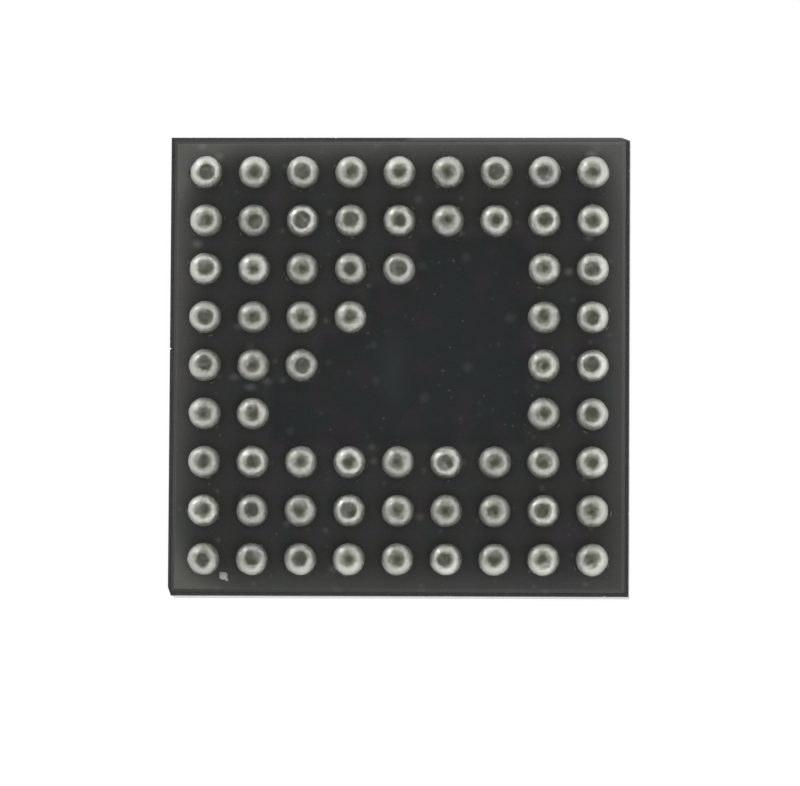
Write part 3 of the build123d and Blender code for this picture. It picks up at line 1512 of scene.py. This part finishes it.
@dataclass
class Dirt:
    """What has settled on the polymer: dust, flux residue and a solder splash."""

    surface: float
    half_side: float
    grid: BallGrid
    chance: random.Random
    sharp_angle: float = 40.0

    # Model crumb of unit size: depth below its middle, and the corner that is skewed
    crumb_depth: float = 0.2
    corner_from: float = 0.3
    corner_skew: tuple[float, float, float] = (1.2, 0.8, 0.7)

    # Dust: margins and widths in millimetres, length and height for a width of 1, turn in radians
    dust_count: int = 75
    rim_margin: float = 0.09
    ball_margin: float = 0.02
    dust_width: Span = (0.007, 0.020)
    dust_length: Span = (1, 2)
    dust_height: float = 0.2
    dust_turn: Span = (0, 3)

    # Flux: distance from a ball's middle for a radius of 1, width and height for a length of 1
    nub_count: int = 90
    nub_away: Span = (0.95, 1.18)
    nub_length: Span = (0.02, 0.055)
    nub_width: float = 0.5
    nub_height: float = 0.3

    splash: tuple[Mark, ...] = (
        Mark(-1.438, -1.736, 0.076, 0.066, 0.030, 0.4),
        Mark(-1.414, -1.764, 0.040, 0.030, 0.014, 2.3),
        Mark(-1.458, -1.716, 0.036, 0.028, 0.016, 0.9),
    )
    crumbs: tuple[Mark, ...] = (
        Mark(0.326, 0.859, 0.016, 0.012, 0.005),
        Mark(0.114, 0.387, 0.015, 0.015, 0.004),
        Mark(0.422, 0.155, 0.020, 0.018, 0.004),
        Mark(-0.387, 0.072, 0.012, 0.010, 0.004),
        Mark(0.880, -0.482, 0.018, 0.014, 0.005),
        Mark(-0.143, -0.516, 0.014, 0.012, 0.004),
        Mark(0.416, -0.201, 0.022, 0.016, 0.004),
        Mark(1.772, -0.845, 0.020, 0.014, 0.005),
        Mark(-1.339, 1.026, 0.018, 0.016, 0.005),
        Mark(-0.638, 1.424, 0.020, 0.016, 0.005),
        Mark(-0.232, 1.416, 0.018, 0.014, 0.005),
    )

    def model_crumb(self) -> Piece:
        """Model the faceted crumb that all dirt is copied from.

        Returns:
            A skewed lump of unit size with its flat side down.
        """
        select_only()
        bpy.ops.mesh.primitive_ico_sphere_add(subdivisions=2, radius=1.0)
        crumb = bpy.context.object
        cut_flat(-self.crumb_depth)
        bpy.ops.mesh.select_all(action="SELECT")
        bpy.ops.transform.translate(value=(0, 0, self.crumb_depth))
        bpy.ops.object.mode_set(mode="OBJECT")
        edit_vertices(crumb, lambda place: place.x > self.corner_from and place.z > self.corner_from)
        bpy.ops.transform.resize(value=self.corner_skew)
        bpy.ops.object.mode_set(mode="OBJECT")
        return crumb

    def lay(self, model: Piece, mark: Mark) -> Piece:
        """Copy the crumb to one mark on the polymer.

        Args:
            model: the crumb of unit size.
            mark: where and how large the copy is.

        Returns:
            The copy.
        """
        crumb = own_copy(model)
        crumb.location = (mark.x, mark.y, self.surface)
        crumb.rotation_euler = (0, 0, mark.turn)
        crumb.scale = (mark.length / 2, mark.width / 2, mark.height / (1 + self.crumb_depth))
        return crumb

    def dust(self) -> list[Mark]:
        """Scatter dust clear of the balls.

        Returns:
            The crumbs that have their own places, and then the scattered ones.
        """
        marks = list(self.crumbs)
        reach = self.half_side - self.rim_margin
        clear_of = self.grid.radius + self.ball_margin
        while len(marks) < self.dust_count:
            x, y = self.chance.uniform(-reach, reach), self.chance.uniform(-reach, reach)
            width = self.chance.uniform(*self.dust_width)
            if all(math.hypot(x - ball[0], y - ball[1]) > clear_of for ball in self.grid.places()):
                length = width * self.chance.uniform(*self.dust_length)
                turn = self.chance.uniform(*self.dust_turn)
                marks.append(Mark(x, y, length, width, width * self.dust_height, turn))
        return marks

    def nubs(self) -> list[Mark]:
        """Place small lumps of dried flux at the feet of some balls.

        Returns:
            One mark for each lump, lying along its ball's foot.
        """
        marks = []
        for _ in range(self.nub_count):
            ball = self.chance.choice(self.grid.places())
            turn = self.chance.uniform(0, math.tau)
            away = self.grid.radius * self.chance.uniform(*self.nub_away)
            x, y = ball[0] + away * math.cos(turn), ball[1] + away * math.sin(turn)
            length = self.chance.uniform(*self.nub_length)
            width, height = length * self.nub_width, length * self.nub_height
            marks.append(Mark(x, y, length, width, height, turn + math.pi / 2))
        return marks

    def pile(
        self, model: Piece, marks: Iterable[Mark], name: str, finish: bpy.types.Material
    ) -> Piece:
        """Lay a list of marks and finish them as one piece.

        Args:
            model: the crumb that is copied.
            marks: where and how large each one is.
            name: the piece's name.
            finish: the material.

        Returns:
            The finished piece.
        """
        crumbs = [self.lay(model, mark) for mark in marks]
        select_only(*crumbs)
        bpy.ops.object.transform_apply(location=True, rotation=True, scale=True)
        piece = joined(crumbs)
        select_only(piece)
        bpy.ops.object.shade_smooth_by_angle(angle=math.radians(self.sharp_angle))
        return finish_piece(piece, name, finish)

    def build(
        self,
        dust_finish: bpy.types.Material,
        flux_finish: bpy.types.Material,
        splash_finish: bpy.types.Material,
    ) -> None:
        """Build the dust, the flux residue and the solder splash.

        Args:
            dust_finish: the dust's material.
            flux_finish: the flux residue's material.
            splash_finish: the splash's material.
        """
        model = self.model_crumb()
        self.pile(model, self.dust(), "dust_specks", dust_finish)
        self.pile(model, self.nubs(), "flux_residue", flux_finish)
        self.pile(model, self.splash, "solder_splash", splash_finish)
        bpy.data.objects.remove(model)


@dataclass(frozen=True)
class Lamp:
    """A square soft lamp, with its angles in degrees and its measures in metres.

    Its turn counts from +X towards +Y, its rise from the floor, and glossy says whether
    reflections show it.
    """

    name: str
    turn: float
    rise: float
    away: float
    side: float
    watts: float
    glossy: bool

    def hang(self, target: Vector) -> None:
        """Hang the lamp.

        Args:
            target: the point that it looks at.
        """
        data = bpy.data.lights.new(self.name, "AREA")
        data.shape = "SQUARE"
        data.size = self.side
        data.energy = self.watts
        lamp = bpy.data.objects.new(self.name, data)
        turn, rise = math.radians(self.turn), math.radians(self.rise)
        level = math.cos(rise)
        towards = Vector((level * math.cos(turn), level * math.sin(turn), math.sin(rise)))
        lamp.location = target + towards * self.away
        lamp.rotation_mode = "QUATERNION"
        lamp.rotation_quaternion = towards.to_track_quat("Z", "Y")
        lamp.visible_glossy = self.glossy
        bpy.context.scene.collection.objects.link(lamp)


@dataclass
class Studio:
    """Pale floor, soft surroundings, a dark lens over the chip, two lamps and the camera."""

    target: Vector

    # Camera: angles in degrees, its distance in metres, and how many times nearer and farther it sees
    tilt_right: float = 3.0
    tilt_front: float = 4.4
    roll: float = 0.340
    distance: float = 0.055
    pixels_per_mm: float = 121.326
    frame_width: int = 800
    aim_right_px: float = 1.55
    aim_up_px: float = -27.6
    sensor_width: float = 36.0
    times_nearer: float = 100.0
    times_farther: float = 20.0

    # Dark lens: measures in metres, the share of its radius that is darkest, and its glow from there out
    lens_radius: float = 0.036
    lens_distance: float = 0.022
    lens_sides: int = 96
    lens_core: float = 0.2
    lens_glow: Span = (0.08, 0.70)

    # Floor: its glow to reflections and to the camera, and the share of glow in what the camera sees
    floor_side: float = 0.4
    floor_colour: Colour = (0.86, 0.86, 0.86)
    floor_roughness: float = 0.9
    floor_glow: Span = (1.0, 1.12)
    glow_share: float = 0.8

    # Surroundings: their strength as a lamp and when seen, and a ring that only reflections see
    surround: Span = (0.7, 1.0)
    ring_half: float = 0.05
    ring_fade: float = 0.45
    ring_strength: float = 1.2
    ring_by_x: float = 0.7
    ring_by_y: float = -0.4

    lamps: tuple[Lamp, ...] = (
        Lamp("fill", turn=-50, rise=50, away=0.12, side=0.08, watts=0.030, glossy=False),
        Lamp("window", turn=135, rise=8, away=0.10, side=0.012, watts=0.018, glossy=True),
    )

    def axes(self) -> Matrix:
        """Find the camera's own directions.

        Returns:
            A matrix whose columns point to the camera's right, up and back.
        """
        right_slope = math.tan(math.radians(self.tilt_right))
        front_slope = math.tan(math.radians(self.tilt_front))
        back = Vector((right_slope, -front_slope, 1)).normalized()
        right = Vector((0, 1, 0)).cross(back).normalized()
        up = back.cross(right)
        turn = math.radians(self.roll)
        turned_right = right * math.cos(turn) + up * math.sin(turn)
        turned_up = up * math.cos(turn) - right * math.sin(turn)
        return Matrix((turned_right, turned_up, back)).transposed()

    def camera(self) -> None:
        """Put the camera at the photograph's viewing angle."""
        axes = self.axes()
        right, up, back = (axes.col[index] for index in range(3))
        aim = self.target + (right * self.aim_right_px + up * self.aim_up_px) * (MM / self.pixels_per_mm)
        data = bpy.data.cameras.new("camera")
        data.sensor_width = self.sensor_width
        pixels_deep = self.pixels_per_mm * self.distance / MM
        data.lens = self.sensor_width * pixels_deep / self.frame_width
        data.clip_start = self.distance / self.times_nearer
        data.clip_end = self.distance * self.times_farther
        camera = bpy.data.objects.new("camera", data)
        camera.matrix_world = Matrix.Translation(aim + back * self.distance) @ axes.to_4x4()
        bpy.context.scene.collection.objects.link(camera)
        bpy.context.scene.camera = camera

    def floor(self) -> None:
        """Lay the white floor, which keeps a faint shadow and can't be seen from below."""
        select_only()
        bpy.ops.mesh.primitive_plane_add(size=self.floor_side, location=(0, 0, 0))
        floor = bpy.context.object
        floor.name = "studio_floor"
        material, graph, shader = new_material("studio_floor")
        shader.inputs["Base Color"].default_value = (*self.floor_colour, 1)
        shader.inputs["Roughness"].default_value = self.floor_roughness
        shader.inputs["Specular IOR Level"].default_value = 0.0
        glow = graph.node("ShaderNodeEmission")
        rays = graph.node("ShaderNodeLightPath")
        seen = rays.outputs["Is Camera Ray"]
        graph.feed(glow.inputs["Strength"], graph.spread(seen, *self.floor_glow))
        reflected = graph.math("MAXIMUM", rays.outputs["Is Glossy Ray"], rays.outputs["Is Transmission Ray"])
        share = graph.math("MAXIMUM", graph.math("MULTIPLY", seen, self.glow_share), reflected)
        shown = graph.node("ShaderNodeMixShader")
        graph.feed(shown.inputs[0], share)
        graph.feed(shown.inputs[1], shader.outputs[0])
        graph.feed(shown.inputs[2], glow.outputs[0])
        clear = graph.node("ShaderNodeBsdfTransparent")
        under = graph.node("ShaderNodeMixShader")
        graph.feed(under.inputs[0], graph.node("ShaderNodeNewGeometry").outputs["Backfacing"])
        graph.feed(under.inputs[1], shown.outputs[0])
        graph.feed(under.inputs[2], clear.outputs[0])
        graph.feed(material.node_tree.nodes["Material Output"].inputs["Surface"], under.outputs[0])
        floor.data.materials.append(material)

    def lens(self) -> None:
        """Hang the dark lens on the camera's axis, where only gloss sees it."""
        select_only()
        bpy.ops.mesh.primitive_circle_add(
            vertices=self.lens_sides, radius=self.lens_radius, fill_type="NGON"
        )
        lens = bpy.context.object
        axes = self.axes()
        middle = self.target + axes.col[2] * self.lens_distance
        lens.matrix_world = Matrix.Translation(middle) @ axes.to_4x4()
        lens.name = "studio_lens"
        material, graph, _ = new_material("studio_lens")
        glow = graph.node("ShaderNodeEmission")
        own = graph.node("ShaderNodeTexCoord").outputs["Object"]
        away = graph.vector("LENGTH", graph.vector("MULTIPLY", own, (1.0, 1.0, 0.0)))
        fade = graph.step(away, self.lens_radius * self.lens_core, self.lens_radius)
        graph.feed(glow.inputs["Strength"], graph.spread(fade, *self.lens_glow))
        graph.feed(material.node_tree.nodes["Material Output"].inputs["Surface"], glow.outputs[0])
        lens.data.materials.append(material)
        lens.visible_camera = False
        lens.visible_diffuse = False
        lens.visible_shadow = False

    def world(self) -> None:
        """Surround the scene with soft light, white to the camera and to gloss."""
        world = bpy.data.worlds.new("studio")
        world.use_nodes = True
        bpy.context.scene.world = world
        graph = Graph(world.node_tree)
        background = world.node_tree.nodes["Background"]
        rays = graph.node("ShaderNodeLightPath")
        seen = graph.math("MAXIMUM", rays.outputs["Is Camera Ray"], rays.outputs["Is Glossy Ray"])
        seen = graph.math("MAXIMUM", seen, rays.outputs["Is Transmission Ray"])
        background.inputs["Color"].default_value = (1, 1, 1, 1)
        right, behind, up = graph.parts(graph.node("ShaderNodeTexCoord").outputs["Generated"])
        low = graph.falling(graph.math("ABSOLUTE", up), self.ring_half, self.ring_fade)
        facing = graph.math("MULTIPLY_ADD", behind, self.ring_by_y, self.ring_strength)
        facing = graph.math("MULTIPLY_ADD", right, self.ring_by_x, facing)
        ring = graph.math("MULTIPLY", graph.math("MULTIPLY", low, facing), rays.outputs["Is Glossy Ray"])
        strength = graph.math("ADD", graph.spread(seen, *self.surround), ring)
        graph.feed(background.inputs["Strength"], strength)

    def build(self) -> None:
        """Set up the whole studio."""
        bpy.context.scene.view_settings.view_transform = "Standard"
        self.camera()
        self.floor()
        self.lens()
        self.world()
        for lamp in self.lamps:
            lamp.hang(self.target)


def dress_metals(nodes: Iterable[str]) -> None:
    """Dress the copper and aluminium nodes.

    Args:
        nodes: the names of all CAD nodes.
    """
    copper = PlatedFinish("plated_copper", (0.72, 0.40, 0.26), (0.46, 0.23, 0.14)).make()
    aluminium = PlatedFinish("sputtered_aluminium", (0.78, 0.78, 0.79), (0.60, 0.60, 0.61)).make()
    for name in sorted(nodes):
        if name.startswith(("copper_traces", "under_bump_pads")):
            dress(name, copper)
        elif name.startswith("die_pads"):
            dress(name, aluminium)


def main() -> None:
    """Build and dress the whole chip and its studio."""
    logging.basicConfig(level=logging.INFO, format="%(message)s")
    polymer_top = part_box("upper_polymer_layer")[1].z / MM
    half_side = cad_box[1].x / MM
    grid = BallGrid.from_frame()
    effects = Effects.build(grid.gaps())
    solder = SolderFinish().make(effects, grid.pitch, grid.top)
    Studio(target=Vector((0, 0, grid.centre_height * MM))).build()
    polymer = PolymerFinish().make(effects, half_side, polymer_top, grid.pitch, grid.radius)
    dress("upper_polymer_layer", polymer)
    dress("lower_polymer_layer", InnerPolymerFinish().make())
    dress("backside_film", FilmFinish().make(effects))
    dress_metals(frame["nodes"])
    silicon = SiliconFinish().make(effects)
    SawnDie(silicon, LedgeFinish().make(half_side), random.Random(DIE_SEED)).build()
    SolderBalls(grid, solder, random.Random(BALL_SEED)).build()
    dust = ResidueFinish("settled_dust", (0.075, 0.075, 0.072), (0.050, 0.050, 0.050), 0.7).make()
    flux = ResidueFinish("dried_flux", (0.095, 0.093, 0.072), (0.045, 0.044, 0.033), 0.35).make()
    splash = ResidueFinish("splashed_solder", (0.44, 0.44, 0.420), (0.30, 0.30, 0.285), 0.6).make()
    Dirt(polymer_top, half_side, grid, random.Random(DIRT_SEED)).build(dust, flux, splash)


if __name__ == "__main__":
    main()
